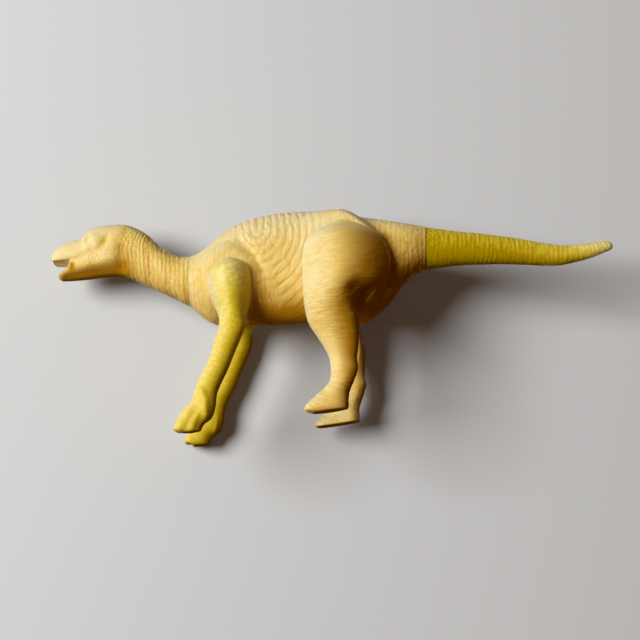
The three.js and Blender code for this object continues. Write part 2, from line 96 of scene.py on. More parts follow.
def soft_lamp(name, toward, distance, size, power):
    """A round lamp at a distance from the target, in a direction, that shines at the target."""
    toward = np.array(toward) / np.linalg.norm(toward)
    right = np.cross([0.0, 0.0, 1.0], toward)
    right = right / np.linalg.norm(right)
    data = bpy.data.lights.new(name, "AREA")
    data.shape = "DISK"
    data.size = size
    data.energy = power
    lamp = bpy.data.objects.new(name, data)
    lamp.matrix_world = placed(
        TARGET + toward * distance, right, np.cross(toward, right), toward
    )
    bpy.context.scene.collection.objects.link(lamp)
    return lamp


key_side = -0.64 * picture_right + 0.25 * picture_up - 0.73 * look
soft_lamp("key_lamp", key_side, distance=0.90, size=0.46, power=8.6)
back_lamp = soft_lamp("back_lamp", [0.0, 0.96, 0.30], distance=0.90, size=0.30, power=4.2)
back_lamp.data.cycles.max_bounces = 0

world = bpy.data.worlds.new("studio")
bpy.context.scene.world = world
world.use_nodes = True
nodes, links = world.node_tree.nodes, world.node_tree.links
ambient = nodes["Background"]
ambient.inputs["Color"].default_value = (1.0, 0.5, 0.12, 1)
ambient.inputs["Strength"].default_value = 0.075
backdrop = nodes.new("ShaderNodeBackground")
backdrop.inputs["Color"].default_value = (0.74, 0.74, 0.73, 1)
ray = nodes.new("ShaderNodeLightPath")
seen = ray.outputs["Is Camera Ray"]
for kind in ("Is Glossy Ray", "Is Transmission Ray"):
    either = nodes.new("ShaderNodeMath")
    either.operation = "ADD"
    either.use_clamp = True
    links.new(seen, either.inputs[0])
    links.new(ray.outputs[kind], either.inputs[1])
    seen = either.outputs["Value"]
choice = nodes.new("ShaderNodeMixShader")
links.new(seen, choice.inputs["Fac"])
links.new(ambient.outputs["Background"], choice.inputs[1])
links.new(backdrop.outputs["Background"], choice.inputs[2])
links.new(choice.outputs["Shader"], nodes["World Output"].inputs["Surface"])
bpy.context.scene.view_settings.view_transform = "Standard"

# %% [markdown]
# ## Table and floor
# In the picture the toy lies on its right side on a pale table. It rests on its cheek, its hand and
# its thigh, so the table is the plane through these three. Seen from other sides the toy stands on
# a pale floor. Both are seen from their front only, so neither hides the toy: the material turns
# clear on a face's back. Neither throws light back on the toy, which would wash out its shaded
# side. The world's warm light alone would make the toy's shadow brown, so both glow very faintly
# in blue.

# %% Stage
STAGE_HALF_SIDE = 0.5
TABLE_BEHIND = 0.0214
PALE = (0.76, 0.77, 0.775)


def stage_plane(name, centre, right, up):
    """A square plane: its corners are half a side right or left of the centre and up or down."""
    centre, right, up = (np.array(v, float) for v in (centre, right, up))
    ways = ((-1, -1), (1, -1), (1, 1), (-1, 1))
    corners = [centre + STAGE_HALF_SIDE * (a * right + b * up) for a, b in ways]
    mesh = bpy.data.meshes.new(name)
    mesh.from_pydata([list(c) for c in corners], [], [(0, 1, 2, 3)])
    plane = bpy.data.objects.new(name, mesh)
    bpy.context.scene.collection.objects.link(plane)
    material = bpy.data.materials.new(name)
    material.use_nodes = True
    nodes, links = material.node_tree.nodes, material.node_tree.links
    paint = nodes["Principled BSDF"]
    paint.inputs["Base Color"].default_value = (*PALE, 1)
    paint.inputs["Roughness"].default_value = 0.8
    paint.inputs["Specular IOR Level"].default_value = 0.1
    paint.inputs["Emission Color"].default_value = (0, 0.5, 1, 1)
    paint.inputs["Emission Strength"].default_value = 0.016
    clear = nodes.new("ShaderNodeBsdfTransparent")
    behind = nodes.new("ShaderNodeNewGeometry")
    choice = nodes.new("ShaderNodeMixShader")
    links.new(behind.outputs["Backfacing"], choice.inputs["Fac"])
    links.new(paint.outputs["BSDF"], choice.inputs[1])
    links.new(clear.outputs["BSDF"], choice.inputs[2])
    links.new(choice.outputs["Shader"], nodes["Material Output"].inputs["Surface"])
    mesh.materials.append(material)
    plane.visible_shadow = False
    return plane


table_back = np.array([-0.119, 0.990, 0.075])
table_right = picture_right - table_back * (table_back @ picture_right)
table_right = table_right / np.linalg.norm(table_right)
table_up = np.cross(table_right, table_back)
table = stage_plane("table", table_back * TABLE_BEHIND, table_right, table_up)
floor = stage_plane("floor", [0, 0, 0], [1, 0, 0], [0, 1, 0])
for plane in (table, floor):
    plane.visible_diffuse = False
    plane.visible_glossy = False
print("stage:", table.name, floor.name)

# %% [markdown]
# ## Ribs and lofts
# Every piece is a loft: rows of numbers, the ribs, give the outline's two edge points and the half
# thickness, and a smooth cubic runs through them. It could be sculpted by hand, or a cage of a few
# faces could be subdivided, but with ribs the outline is exactly the one that was measured.
# A section across the ribs is a superellipse: an ellipse whose corners can be filled out.

# %% Lofts
CAP_ROWS = 12


def eased(low, high, value):
    """0 below low, 1 above high, and between them the smooth curve 3t² - 2t³."""
    t = np.clip((value - low) / (high - low), 0, 1)
    return t * t * (3 - 2 * t)


def knots_of(ribs):
    """Distance along the middle line at each rib."""
    middle = (ribs[:, 0:2] + ribs[:, 2:4]) / 2
    return np.concatenate([[0], np.cumsum(np.linalg.norm(np.diff(middle, axis=0), axis=1))])


def ribs_at(ribs, s):
    """Rib numbers at distances s: a cubic between ribs, its slopes taken from their neighbours."""
    knots, last = knots_of(ribs), len(ribs) - 1
    order = np.arange(last + 1)
    before, after = np.maximum(order - 1, 0), np.minimum(order + 1, last)
    slopes = (ribs[after] - ribs[before]) / (knots[after] - knots[before])[:, None]
    i = np.clip(np.searchsorted(knots, s, "right") - 1, 0, last - 1)
    span = (knots[i + 1] - knots[i])[:, None]
    t = (s - knots[i])[:, None] / span
    rise, fall = slopes[i] * span, slopes[i + 1] * span
    bend = 2 * (ribs[i] - ribs[i + 1]) + rise + fall
    swell = 3 * (ribs[i + 1] - ribs[i]) - 2 * rise - fall
    return ribs[i] + t * (rise + t * (swell + t * bend))


def stations(length, count, start, end):
    """Distances from 0 to length: even steps, and quarter-circle steps within start and end."""
    turn = np.linspace(0, math.pi / 2, CAP_ROWS, endpoint=False)
    first = start * (1 - np.cos(turn))
    final = length - end * (1 - np.cos(turn))
    return np.concatenate([first, np.linspace(start, length - end, count), final[::-1]])


def loft(
    ribs, count, angles, squareness, start=0.06, end=0.06,
    round_start=False, round_end=False, spread=None, lean=0.0, fillet=0.0,
):
    """A skin over the ribs, as points in rows along the piece and columns round it.
    A point is the section's centre plus sin(angle) to the power 2/squareness times the half height,
    and cos(angle) to the same power times the half thickness. Near an end the section shrinks
    along a quarter circle, of radius start or end: down to a point if the end is round, and by
    the radius alone if not.
    spread gives, for distances and thicknesses, the middle plane, the thickness on either side of
    it and how domed the outer side is in its front and rear half: cos(angle) is raised to that
    power once more. lean moves the top of the dome towards its front edge. With f for fillet and t
    for the greatest height, a height h becomes h²/(h + f) times (t + f)/t, which lets the dome's
    edge run out softly and leaves its top as high as it was."""
    ribs = np.array(ribs, float)
    length = knots_of(ribs)[-1]
    s = stations(length, count, start, end)
    row = ribs_at(ribs, s)
    if spread is None:
        middle, outer, inner = np.zeros_like(s), row[:, 4], row[:, 4]
        dome = (np.ones_like(s), np.ones_like(s))
    else:
        middle, outer, inner, dome = spread(s, row[:, 4])
    size, shrink = np.ones_like(s), np.zeros_like(s)
    for away, radius, is_round in ((s, start, round_start), (length - s, end, round_end)):
        missing = 1 - np.clip(away / radius, 0, 1)
        curve = np.sqrt(np.maximum(0, 1 - missing * missing))
        if is_round:
            size = size * curve
        else:
            shrink = shrink + radius * (1 - curve)
    power = 2 / np.broadcast_to(squareness, s.shape)[:, None]
    up = np.sign(np.sin(angles)) * np.abs(np.sin(angles)) ** power
    out = np.sign(np.cos(angles)) * np.abs(np.cos(angles)) ** power
    top, bottom = row[:, 0:2], row[:, 2:4]
    half = np.linalg.norm(top - bottom, axis=1) / 2
    lift = (up * (size * (half - shrink) / half)[:, None])[..., None]
    centre = (top + bottom)[:, None, :] / 2
    flat = centre + lift * (top - bottom)[:, None, :] / 2
    domed = np.where(np.sin(angles) > 0, dome[0][:, None], dome[1][:, None])
    crown = size ** ((dome[0] + dome[1]) / 2) * (outer - shrink)
    leant = 1 + lean * up * (dome[0] - 1)[:, None]
    outward = np.maximum(out, 0) ** domed * crown[:, None] * leant
    foot, peak = (fillet * (dome[0] - 1))[:, None] + 1e-6, (outer - shrink)[:, None]
    outward = outward**2 / (outward + foot) * (peak + foot) / peak
    y = middle[:, None] + outward + np.minimum(out, 0) * (size * (inner - shrink))[:, None]
    points = np.stack([flat[..., 0], y, flat[..., 1]], axis=-1)
    along = np.broadcast_to(s[:, None], y.shape)
    return points, along, length


def normals(points, middle=None, closed=True):
    """Unit normals: the cross product of the differences along the rows and round the columns.
    On a closed loft the last column is followed by the first. The sign is the one that points
    away from the middle, which is each row's mean if it isn't given."""
    if closed:
        wrapped = np.concatenate([points[:, -2:], points, points[:, :2]], axis=1)
        round_it = np.gradient(wrapped, axis=1)[:, 2:-2]
    else:
        round_it = np.gradient(points, axis=1)
    along_it = np.gradient(points, axis=0)
    n = np.cross(along_it, round_it)
    n = n / np.maximum(np.linalg.norm(n, axis=-1, keepdims=True), 1e-9)
    inside = points.mean(axis=1, keepdims=True) if middle is None else middle
    return n * np.sign(np.sum(n * (points - inside)))


print("loft helpers ready")

# %% [markdown]
# ## Wrinkled skin
# The skin has two kinds of relief. Folds run across each limb, and fine pebbles lie between them.
# Bump in the material would only fake them, so they are cut into the mesh. Both come from
# cell noise: space is filled with one random point per unit cube, and the places where the nearest
# and the second nearest point are equally far form a net of cracks. Squeezed along one direction
# the cells become long, and the cracks become folds that meet and part as real ones do.

# %% Noise


def scattered(cell, seed):
    """Repeatable numbers from 0 to 1 for whole-number cells: counts times odd numbers, stirred."""
    count = cell.astype(np.int64).astype(np.uint32)
    h = count[..., 0] * np.uint32(73856093) ^ count[..., 1] * np.uint32(19349663)
    h = h ^ count[..., 2] * np.uint32(83492791) ^ np.uint32((seed * 2654435761) % 2**32)
    for _ in range(2):
        h = (h ^ (h >> np.uint32(15))) * np.uint32(2246822519)
        h = h ^ (h >> np.uint32(13))
    return h / 2.0**32


def cloud(points, seed):
    """Soft noise from -1 to 1: a random number at each unit corner, blended between corners."""
    cell = np.floor(points)
    f = points - cell
    f = f * f * (3 - 2 * f)
    total = np.zeros(points.shape[:-1])
    for corner in np.ndindex(2, 2, 2):
        weight = np.prod(np.where(corner, f, 1 - f), axis=-1)
        total += weight * scattered(cell + np.array(corner), seed)
    return 2 * total - 1


def cell_gap(points, seed):
    """How much farther the second nearest scattered point is than the nearest: 0 on a crack."""
    cell = np.floor(points)
    near = np.full(points.shape[:-1], 9.0)
    second = near.copy()
    for step in np.ndindex(3, 3, 3):
        at = cell + np.array(step) - 1
        spot = at + np.stack([scattered(at, seed + k) for k in (1, 2, 3)], axis=-1)
        far = np.linalg.norm(spot - points, axis=-1)
        second = np.minimum(second, np.maximum(near, far))
        near = np.minimum(near, far)
    return second - near


def pillows(gap, width):
    """Turns the gap into relief: 0 in the crack, rising along a parabola to 1 at the width."""
    t = np.clip(gap / width, 0, 1)
    return 1 - (1 - t) ** 2


def folds(across, round_it, spacing, reach, seed, wander=0.35, width=0.5):
    """Folds every spacing mm across, each about reach mm long; across is a distance, round_it two.
    Slower noise pushes them to and fro by as much as wander of their spacing."""
    u, v = round_it
    slow = np.stack([across / (4 * spacing), u / (0.8 * reach), v / (0.8 * reach)], axis=-1)
    q = np.stack([across / spacing, u / reach, v / reach], axis=-1)
    q[..., 0] += wander * cloud(slow, seed + 40)
    return pillows(cell_gap(q, seed), width)


def ribbed(across, sway_at, spacing, seed, sway=0.3, sharp=0.7):
    """Even ribs: |sin| of the distance across them, to a power below 1, so the grooves are narrow.
    Soft noise pushes the distance to and fro, which makes the ribs wander and vary in width."""
    across = across + sway * spacing * cloud(sway_at / (3.5 * spacing), seed)
    return np.abs(np.sin(math.pi * across / spacing)) ** sharp


def pebbles(points, size, seed):
    """Rounded grains of about the given size in mm."""
    return pillows(cell_gap(points / size, seed), 0.45)


def blob(x, z, at, reach, turn=0.0):
    """A soft hill: exp(-d²), d in units of reach along two directions turned in the xz plane."""
    c, s = math.cos(math.radians(turn)), math.sin(math.radians(turn))
    u = ((x - at[0]) * c + (z - at[1]) * s) / reach[0]
    v = ((z - at[1]) * c - (x - at[0]) * s) / reach[1]
    return np.exp(-(u * u + v * v))


def line_distance(x, z, line):
    """Distance in the xz plane from each point to the nearest stretch of a line of points."""
    best = np.full(np.shape(x), 1e9)
    for (ax, az), (bx, bz) in zip(line, line[1:]):
        dx, dz = bx - ax, bz - az
        t = np.clip(((x - ax) * dx + (z - az) * dz) / (dx * dx + dz * dz), 0, 1)
        best = np.minimum(best, np.hypot(x - ax - t * dx, z - az - t * dz))
    return best


def crease(x, z, line, width):
    """A soft groove along a line: 1 on the line, falling as exp(-(distance/width)²)."""
    d = line_distance(x, z, line) / width
    return np.exp(-d * d)


def softly_above(value, floor_value, blend):
    """The larger of two values, with a rounded corner of about blend where they cross."""
    return (value + floor_value + np.sqrt((value - floor_value) ** 2 + blend * blend)) / 2


print("one crack net:", np.round(cell_gap(np.array([[0.2, 0.4, 0.1], [5.3, 2.2, 0.9]]), 1), 3))

# %% [markdown]
# ## From points to a mesh
# Rows and columns of points become faces with four corners each. Both ends are closed with a fan
# to one point. The volume under the faces tells whether they point outwards, and if it is negative
# the order of the corners is turned round. The plastic's colour could be painted by hand. Here it
# follows from three numbers on each vertex: relief, how high the point lies between crack and
# ridge; painted shading and mottle, how much painted light or painted shade the point gets, with
# random bands on the neck; and paint, whether its coloured layer is on it.

# %% Mesh builder


def painted_shading_of(out):
    """Painted light and shade, 0 to 1, from unit normals: painted light above and in front, painted
    shade below and behind. It is a half, plus half of 0.85 times the normal's z minus 0.95 times
    its x."""
    return 0.5 + 0.5 * np.clip(0.85 * out[..., 2] - 0.95 * out[..., 0], -1, 1)


def closed_piece(name, points, relief, painted_shading_and_mottle, paint=None):
    """A closed mesh from rows of points, each row a loop: four-sided faces and two end fans.
    relief, painted shading and mottle, and paint are numbers for each point, which the plastics
    read."""
    ends = np.stack([points[0].mean(axis=0), points[-1].mean(axis=0)])
    is_ring = np.ptp(points, axis=1).max(axis=-1) > 1e-4
    points = points[is_ring]
    rows, columns = points.shape[:2]
    vertices = np.concatenate([points.reshape(-1, 3), ends]) / 1000
    paint = np.ones_like(relief) if paint is None else paint
    numbers = {"relief": relief, "painted_shading_and_mottle": painted_shading_and_mottle, "paint": paint}
    for title, values in numbers.items():
        values = values[is_ring]
        numbers[title] = np.concatenate([values.reshape(-1), [values[0].mean(), values[-1].mean()]])
    a = np.arange((rows - 1) * columns).reshape(rows - 1, columns)
    b = np.roll(a, -1, axis=1)
    quads = np.stack([a, b, b + columns, a + columns], axis=-1).reshape(-1, 4)
    ring = np.arange(columns)
    turned = np.roll(ring, -1)
    first = np.stack([turned, ring, np.full(columns, rows * columns)], axis=-1)
    final = (rows - 1) * columns
    last = np.stack([final + ring, final + turned, np.full(columns, rows * columns + 1)], axis=-1)
    fans = np.concatenate([first, last])
    triangles = np.concatenate([quads[:, [0, 1, 2]], quads[:, [0, 2, 3]], fans])
    corner = vertices[triangles]
    volume = np.sum(corner[:, 0] * np.cross(corner[:, 1], corner[:, 2])) / 6
    if volume < 0:
        quads, fans = quads[:, ::-1], fans[:, ::-1]
    mesh = bpy.data.meshes.new(name)
    mesh.vertices.add(len(vertices))
    mesh.vertices.foreach_set("co", vertices.astype(np.float32).reshape(-1))
    loops = np.concatenate([quads.reshape(-1), fans.reshape(-1)])
    sizes = np.concatenate([np.full(len(quads), 4), np.full(len(fans), 3)])
    mesh.loops.add(len(loops))
    mesh.loops.foreach_set("vertex_index", loops.astype(np.int32))
    mesh.polygons.add(len(sizes))
    starts = np.concatenate([[0], np.cumsum(sizes)[:-1]])
    mesh.polygons.foreach_set("loop_start", starts.astype(np.int32))
    mesh.polygons.foreach_set("use_smooth", np.ones(len(sizes), bool))
    mesh.update(calc_edges=True)
    mesh.validate()
    for title, values in numbers.items():
        layer = mesh.attributes.new(title, "FLOAT", "POINT")
        layer.data.foreach_set("value", values.astype(np.float32))
    piece = bpy.data.objects.new(name, mesh)
    bpy.context.scene.collection.objects.link(piece)
    print(name, len(triangles), "triangles,", round(abs(volume) * 1e6, 2), "cm³")
    return piece


def full_turn(columns):
    """Angles all the way round, one for each column."""
    return np.linspace(0, 2 * math.pi, columns, endpoint=False)


print("mesh builder ready")

# %% [markdown]
# ## Where the pieces meet
# The head and the tail turn on flat round faces. The seam's section is a circle that leans with
# the joint, so the piece on each side of it starts from the same circle, a hairline apart. Each
# leg turns about a point of the flank, a running gap away from its flat seat. These places could
# be written into each piece, but written once they keep the pieces together.

# %% Seams and joints


def seam_rib(x, z, tilt, outward, radius, offset):
    """The seam's circle as a rib: its top and bottom points, moved along the joint's axis."""
    up = np.array([math.sin(math.radians(tilt)), math.cos(math.radians(tilt))])
    axis = outward * np.array([up[1], -up[0]])
    centre = np.array([x, z]) + offset * axis
    return [*(centre + radius * up), *(centre - radius * up), radius]


# x and z of the centre, tilt in degrees, way out along x, radius
NECK = (-35.9, 39.8, 7.1, -1, 6.4)
TAIL = (23.6, 39.25, 9.4, 1, 5.45)
HAIRLINE = 0.05
# how far the folds near the seams lean, as x over z
FOLD_LEAN = 0.145

# x and z of the joint
SHOULDER = (-25.3, 37.4)
HIP = (3.4, 37.0)
SEAT_Y = 9.6
RUNNING_GAP = 0.3

# how far a skin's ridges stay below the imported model's surface
INSET = 0.05
TAIL_INSET = 0.06
print("neck seam", np.round(seam_rib(*NECK, 0), 2), "tail seam", np.round(seam_rib(*TAIL, 0), 2))

# %% [markdown]
# ## Trunk halves
# The trunk is glued from a left and a right half. Each is half a loft, closed by a flat face in
# the middle. Where a leg turns, a flat round seat stands out of the flank, and the flank swells
# out to it. Behind the shoulder the folds hang in nested arcs, as loose skin does, and between the
# thigh and the tail they stand upright. The arcs are circles of growing radius about a point high
# on the shoulder, so the distance from that point, with the height squeezed, is the direction
# across the folds.

# %% Trunk
TRUNK_RIBS = [
    seam_rib(*NECK, 0),
    [-32.7, 46.7, -34.5, 30.6, 7.3],
    [-29.6, 48.5, -31.6, 28.2, 8.0],
    [-25.7, 51.0, -27.4, 27.1, 8.7],
    [-20.9, 52.9, -22.2, 26.5, 9.1],
    [-15.7, 53.6, -16.2, 25.7, 9.4],
    [-9.8, 53.7, -9.9, 25.2, 9.5],
    [-3.4, 53.0, -3.4, 24.9, 9.4],
    [3.1, 51.6, 2.6, 24.2, 9.2],
    [8.5, 49.8, 7.8, 23.6, 8.7],
    [13.4, 48.3, 12.8, 26.8, 7.6],
    [18.0, 46.8, 16.7, 30.7, 7.4],
    [21.3, 45.7, 19.9, 32.7, 6.7],
    seam_rib(*TAIL, 0),
]
# Each seat is a joint and two pairs of distances from it, for the flank before, above and below
# it and for the flank behind it. As far as the first distance the flank is out at the seat's
# level, and at the second the swelling ends. The seat's own radius is the first one behind it.
SEATS = [(SHOULDER, (5.8, 10.0), (5.2, 7.5)), (HIP, (11.6, 17.0), (9.0, 11.6))]
THIGH_CREASE = [(13.6, 42.0), (14.2, 38.0), (13.5, 34.0), (10.5, 29.0), (6.0, 25.5)]
SHOULDER_CREASE = [(-22.2, 47.0), (-20.1, 44.1), (-18.5, 41.0), (-17.5, 37.8)]
GROIN = (10.0, 28.0)


def trunk_relief(x, y, z):
    """Relief of the trunk's skin, 0 to 1, and how deep it is cut, in mm, at each point."""
    place = np.stack([x, y, z], axis=-1)
    centre, squeeze = (-17.1, 48.6), 1.27
    below = np.minimum(z - centre[1], 0) / squeeze
    arc = np.hypot(x - centre[0], below)
    turn = np.arctan2(below, x - centre[0]) + 0.12 * np.maximum(z - centre[1], 0)
    sway = 0.30 * cloud(place / 5.0, 12)
    hanging = np.abs(np.sin(math.pi * (arc + sway) / 1.75)) ** 0.7
    small = folds(arc + sway, (9 * turn, y), 0.8, 4.0, 21, wander=0.3)
    level = x - FOLD_LEAN * (z - 40)
    upright = 0.5 * ribbed(level, place, 1.15, 30, sway=0.5)
    upright += 0.5 * folds(level, (z, y), 1.15, 5.0, 31, wander=0.6)
    crossing = folds(0.6 * x - 0.8 * z, (x, y), 1.5, 5.0, 51, wander=0.8)
    grain = pebbles(place, 0.9, 61)
    shoulder_line = -17.5 - 0.52 * (z - 37.8)
    loose = eased(-1.5, 1.5, x - shoulder_line) * (1 - eased(-4, 2, x))
    rump = eased(4, 9, x)
    front = 1 - eased(-33, -26, x)
    height = loose * (0.55 * hanging + 0.45 * small)
    height += (1 - loose) * (0.55 * upright + 0.25 * crossing + 0.2 * grain)
    depth = 0.14 + 0.26 * loose * (1 - eased(9, 16, arc)) + 0.10 * rump + 0.08 * front
    depth = depth * (1 - 0.65 * blob(x, z, (-25.5, 47.5), (4.0, 4.0)))
    depth = depth * (1 - 0.7 * blob(x, z, GROIN, (5.0, 5.0)))
    return height, depth


def trunk_painted_shading(x, z, out, height):
    """Painted shading of the trunk: painted shade behind the arm, low on the belly, round the thigh
    and in the groin, painted light before the thigh and along the back, and painted shade in the
    cracks everywhere with painted light on the ridges."""
    painted_shading_and_mottle = painted_shading_of(out)
    low_belly = (1 - eased(25.5, 31, z)) * eased(-24, -20, x)
    painted_shading_and_mottle -= 0.30 * blob(x, z, (-19.0, 31.5), (2.2, 6.0)) + 0.40 * low_belly
    painted_shading_and_mottle -= 0.35 * crease(x, z, THIGH_CREASE, 3.0)
    painted_shading_and_mottle -= 0.55 * blob(x, z, GROIN, (5.0, 5.5))
    before_thigh = 1 - eased(10.0, 15.0, np.hypot(x - HIP[0], z - HIP[1]))
    painted_shading_and_mottle += 0.35 * before_thigh * eased(6, -2, x) * eased(32, 40, z)
    return painted_shading_and_mottle + (0.25 * (height - 0.6) + 0.25 * eased(42, 50, z))


def trunk_half(name, side):
    """Half a loft, its skin cut in by the relief and along the parting line of the two halves,
    raised to the seats and closed by a flat face."""
    angles = np.linspace(-math.pi / 2, math.pi / 2, 190)
    points, along, length = loft(TRUNK_RIBS, 270, angles, 2.3)
    out = normals(points, closed=False, middle=points.mean(axis=1, keepdims=True) * [1, 0, 1])
    x, y, z = points[..., 0], points[..., 1], points[..., 2]
    height, depth = trunk_relief(x, side * y, z)
    painted_shading_and_mottle = trunk_painted_shading(x, z, out, height)
    seated, swollen = np.zeros_like(x), np.zeros_like(x)
    for (sx, sz), front, rear in SEATS:
        away = np.hypot(x - sx, z - sz)
        behind = eased(0, rear[0], x - sx)
        full, reach = (front[k] + (rear[k] - front[k]) * behind for k in (0, 1))
        seated = np.maximum(seated, 1 - eased(rear[0] - 0.1, rear[0] + 0.6, away))
        swollen = np.maximum(swollen, 1 - eased(full, reach, away))
    edge = eased(0.05, 0.5, along) * eased(0.05, 0.5, length - along)
    cut = depth * (1 - height) * edge * (1 - seated)
    cut = cut + 0.35 * crease(x, z, SHOULDER_CREASE, 1.0)
    parting = 0.13 * (1 - eased(0.0, 0.35, y))
    points = points - out * ((cut + parting) * np.minimum(edge + 0.2, 1))[..., None]
    depth_cut = out[..., 1] * (cut + parting)
    swell = np.maximum(SEAT_Y - points[..., 1] - depth_cut, 0) * swollen
    points[..., 1] = points[..., 1] + swell * eased(0, 2.5, y)
    points[:, [0, -1], 1] = 0
    inner = np.linspace(0, 1, 12)[1:-1, None]
    flat = points[:, -1:, :] * (1 - inner) + points[:, :1, :] * inner
    skin = np.concatenate([points, flat], axis=1) * [1, side, 1]
    plain = np.full(flat.shape[:2], 0.5)
    relief, painted_shading_and_mottle = (np.concatenate([values, plain], axis=1) for values in (height, painted_shading_and_mottle))
    return closed_piece(name, skin, relief, painted_shading_and_mottle)


trunk_left = trunk_half("trunk_left", -1)
trunk_right = trunk_half("trunk_right", 1)

# %% [markdown]
# ## Tail
# The tail tapers and bends up at its tip. Its folds are rings that follow the distance along the
# tail. Near the root, patches of pebbles take the rings' place here and there, which soft noise
# decides. Rings could be modelled one by one, but real ones are never quite alike.

# %% Tail
TAIL_RIBS = [
    seam_rib(*TAIL, HAIRLINE),
    [28.2, 43.6, 26.8, 33.8, 5.0],
    [33.1, 42.2, 31.8, 33.6, 4.5],
    [37.9, 41.0, 36.8, 33.0, 4.1],
    [42.8, 39.6, 41.9, 32.3, 3.7],
    [47.6, 38.1, 46.9, 31.4, 3.4],
    [52.5, 36.4, 51.8, 30.4, 3.1],
    [56.9, 35.1, 56.2, 29.7, 2.7],
    [60.7, 34.5, 60.6, 29.9, 2.3],
    [64.5, 34.4, 64.8, 30.4, 2.0],
    [67.6, 34.4, 68.3, 31.3, 1.6],
    [69.9, 34.2, 70.6, 31.9, 1.3],
]

points, along, length = loft(TAIL_RIBS, 230, full_turn(130), 2.1, end=1.2, round_end=True)
out = normals(points)
x, y, z = points[..., 0], points[..., 1], points[..., 2]
rings = 0.5 * ribbed(along, points, 1.12, 70, sway=0.4)
rings += 0.5 * folds(along, (z, y), 1.12, 5.0, 71, wander=0.4)
fine = folds(along, (z, y), 0.6, 2.5, 81, wander=0.6)
grain = pebbles(points, 0.8, 91)
patch = eased(-0.1, 0.4, cloud(points / 4.0, 95)) * (1 - 0.7 * eased(10, 22, along))
height = (1 - 0.6 * patch) * (0.75 * rings + 0.25 * fine) + 0.6 * patch * grain
edge = eased(0.05, 0.5, along) * eased(0.0, 2.0, length - along)
upper = eased(-0.4, 0.8, out[..., 2])
depth = 0.16 + 0.12 * upper
points = points - out * (TAIL_INSET + depth * (1 - height) * edge)[..., None]
# Painted shading: painted shade near the root and painted light towards the tip, and where the skin
# faces up, painted light on the ridges and painted shade in the cracks.
painted_shading_and_mottle = painted_shading_of(out) - 0.42 * (1 - eased(15, 40, along)) + 0.85 * eased(36, 47, along)
painted_shading_and_mottle += 0.6 * (height - 0.5) * eased(-0.6, 0.3, out[..., 2])
tail = closed_piece("tail_skin", points, height, painted_shading_and_mottle)

# %% [markdown]
# ## Legs
# A leg is a loft too, from the round top over the knee to the toes. At the top it is a dome on a
# flat inner face, because it turns against the seat on the flank, and further down it stands free.
# Its sole is pressed flat on the floor with a soft maximum, which rounds the edge between skin and
# flat. The right legs are the left ones mirrored, and swung a little about the joint. The lemon
# forelegs use the paint number, because the yellow thins out at the top and along the front edge
# of the upper arm and the cream shows.

# %% Leg builder
LEG_Y = 12.5
LEG_FACE = SEAT_Y + RUNNING_GAP
LEG_CLEAR = 0.12
SOLE_LIFT = 0.02


def leg(
    name, ribs, joint, side, swing, count, columns, squareness, start, end, free,
    relief_of, lean, fillet,
):
    """A loft that is a dome on the inner face as far as the first number of free, and from the
    second one on stands free about y = LEG_Y. The ribs are written about the joint. relief_of
    gives height, cut in mm and a painted shading change, which is added to the painted light and
    shade; lean and fillet shape the dome. The skin is cut in, swung about the joint by the swing in
    degrees and stood on its sole, and painted shade darkens the deep cuts and the sole."""

    def spread(s, thickness):
        loose = eased(free[0], free[1], s)
        middle = LEG_FACE + (LEG_Y - LEG_FACE) * loose
        dome = (1.6 - 0.6 * loose, 1.3 - 0.3 * loose)
        return middle, LEG_Y + thickness - middle, thickness * loose, dome

    points, along, length = loft(
        ribs, count, full_turn(columns), squareness, start, end, True, True, spread, lean, fillet
    )
    out = normals(points)
    painted_shading_and_mottle = painted_shading_of(out)
    height, cut, painted_shading_tint = relief_of(points[..., 0], points[..., 1] * side, points[..., 2], along)
    past_edge = eased(0.4, 2.8, points[..., 0] + 5.6) * eased(0.2, 2.4, along)
    paint = np.maximum(past_edge, 1 - eased(-16, -9, points[..., 2]))
    tips = eased(0.0, 1.5, along) * eased(0.0, 0.8, length - along)
    outer = eased(LEG_FACE + 0.02, LEG_FACE + 0.5, points[..., 1])
    # Painted shading: the relief's painted light and shade, and painted shade where the skin is cut
    # deep.
    painted_shading_and_mottle += painted_shading_tint - 0.5 * eased(0.2, 1.8, cut)
    points = points - out * ((INSET + cut * tips) * outer)[..., None]
    points[..., 1] = np.maximum(points[..., 1], SEAT_Y + LEG_CLEAR)
    points = points * [1, side, 1]
    a = math.radians(swing)
    x = points[..., 0] * math.cos(a) + points[..., 2] * math.sin(a) + joint[0]
    z = points[..., 2] * math.cos(a) - points[..., 0] * math.sin(a) + joint[1]
    z = softly_above(z, SOLE_LIFT, 0.3)
    # Painted shade on the sole, where the foot meets the floor.
    sole = 1 - eased(0.10, 0.35, z)
    painted_shading_and_mottle -= 0.8 * sole
    return closed_piece(name, np.stack([x, points[..., 1], z], axis=-1), height, painted_shading_and_mottle, paint)


print("leg planes at", LEG_FACE, "and", LEG_Y, "mm")

# %% [markdown]
# ### Forelegs
# The upper arm is a teardrop with short level wrinkles, the forearm is smoother, and the hand has
# three blunt fingers that are only grooves in one paddle, with a tendon above them. On the far
# hand the grooves lie a little further forward.

